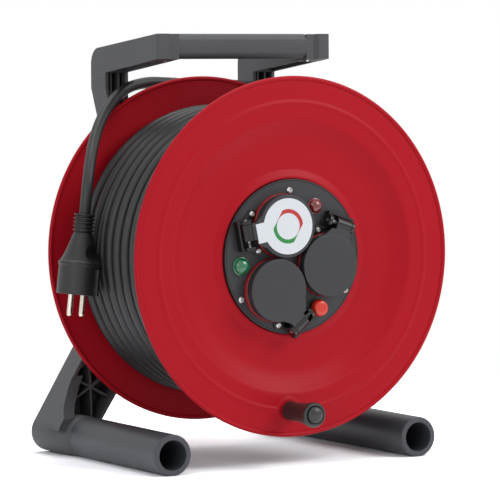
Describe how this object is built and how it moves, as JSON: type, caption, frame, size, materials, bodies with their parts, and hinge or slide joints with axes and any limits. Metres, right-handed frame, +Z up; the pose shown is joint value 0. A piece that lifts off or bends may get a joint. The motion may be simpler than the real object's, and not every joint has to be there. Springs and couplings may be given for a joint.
{
  "type": "extension cord reel",
  "caption": "Steel cable drum with a socket hub under hinged lids, turning on an axle in a moulded stand with a carrying handle.",
  "frame": {"origin": "on the ground under the middle of the reel", "axes": "+Z up, the front of the reel with the sockets and crank knob faces -Y, the axle lies along Y"},
  "size_m": [0.3237, 0.257, 0.372],
  "materials": {
    "red_paint": "semi-gloss stove enamel",
    "frame_plastic": "fine moulded texture",
    "tube_plastic": "satin",
    "black_plastic": "satin",
    "hub_grey": "matt moulded",
    "cable_rubber": "matt rubber sheath",
    "plug_rubber": "satin rubber",
    "zinc_steel": "zinc plated",
    "nickel": "nickel plated",
    "brass": "plain",
    "seal_red": "satin",
    "green_lens": "clear lens",
    "red_lens": "clear lens",
    "button_orange": "gloss",
    "label_white": "printed film",
    "knob_plastic": "satin",
    "terminal_cream": "plain"
  },
  "bodies": {
    "stand": {"left_side_frame": "frame_plastic", "right_side_frame": "frame_plastic", "bearing_carrier": "frame_plastic", "left_foot_tube": "tube_plastic", "right_foot_tube": "tube_plastic", "handle_grip": "frame_plastic", "handle_screws": "zinc_steel", "carrier_screws": "zinc_steel", "axle_tube": "zinc_steel", "axle_nut": "zinc_steel", "axle_cap": "black_plastic", "retaining_washer": "zinc_steel", "circlip": "zinc_steel"},
    "drum": {"front_flange": "red_paint", "rear_flange": "red_paint", "drum_barrel": "red_paint", "hub_bearing": "black_plastic", "hub_screws": "zinc_steel", "cable_core": "cable_rubber", "cable_winding": "cable_rubber", "cable_gland": "black_plastic", "inner_lead": "cable_rubber", "terminal_block": "terminal_cream", "free_cable": "cable_rubber", "plug_sleeve": "plug_rubber", "plug_body": "plug_rubber", "plug_pins": "nickel", "plug_earth_contacts": "nickel", "socket_housing": "black_plastic", "socket_plate": "hub_grey", "plate_screws": "zinc_steel", "socket_insert_1": "black_plastic", "socket_insert_2": "black_plastic", "socket_insert_3": "black_plastic", "seal_ring_1": "seal_red", "seal_ring_2": "seal_red", "seal_ring_3": "seal_red", "earth_clips": "brass", "hinge_block_1": "black_plastic", "hinge_block_2": "black_plastic", "hinge_block_3": "black_plastic", "hinge_screws": "zinc_steel", "hinge_pin_1": "zinc_steel", "hinge_pin_2": "zinc_steel", "hinge_pin_3": "zinc_steel", "lid_spring_1": "zinc_steel", "lid_spring_2": "zinc_steel", "lid_spring_3": "zinc_steel", "green_lamp": "green_lens", "red_lamp": "red_lens", "thermal_cutout": "black_plastic", "knob_spindle": "zinc_steel"},
    "lid_1": {"lid_1": "hub_grey"},
    "lid_2": {"lid_2": "hub_grey", "label_disc": "label_white"},
    "lid_3": {"lid_3": "hub_grey"},
    "reset_button": {"reset_button": "button_orange"},
    "knob": {"knob_sleeve": "knob_plastic", "knob_cap": "knob_plastic"}
  },
  "joints": [
    {"name": "drum_spin", "type": "hinge", "parent": "stand", "child": "drum", "pos_m": [0, -0.0015, 0.18], "axis": [0, 1, 0], "continuous": true},
    {"name": "knob_spin", "type": "hinge", "parent": "drum", "child": "knob", "pos_m": [-0.00691, -0.1015, 0.04818], "axis": [0, 1, 0], "continuous": true},
    {"name": "lid_1_hinge", "type": "hinge", "parent": "drum", "child": "lid_1", "pos_m": [0.04365, -0.0835, 0.20698], "axis": [-0.9455, 0, 0.3256], "range_deg": [0, 100], "stiffness_Nm_per_rad": 0.03, "springref_deg": -34.38},
    {"name": "lid_2_hinge", "type": "hinge", "parent": "drum", "child": "lid_2", "pos_m": [-0.04779, -0.0835, 0.19981], "axis": [0.1908, 0, -0.9816], "range_deg": [0, 100], "stiffness_Nm_per_rad": 0.03, "springref_deg": -34.38},
    {"name": "lid_3_hinge", "type": "hinge", "parent": "drum", "child": "lid_3", "pos_m": [0.00414, -0.0835, 0.12421], "axis": [0.7547, 0, 0.6561], "range_deg": [0, 100], "stiffness_Nm_per_rad": 0.03, "springref_deg": -34.38},
    {"name": "reset_press", "type": "slide", "parent": "drum", "child": "reset_button", "axis": [0, 1, 0], "range_m": [0, 0.003], "stiffness_N_per_m": 300, "springref_m": -0.003}
  ]
}
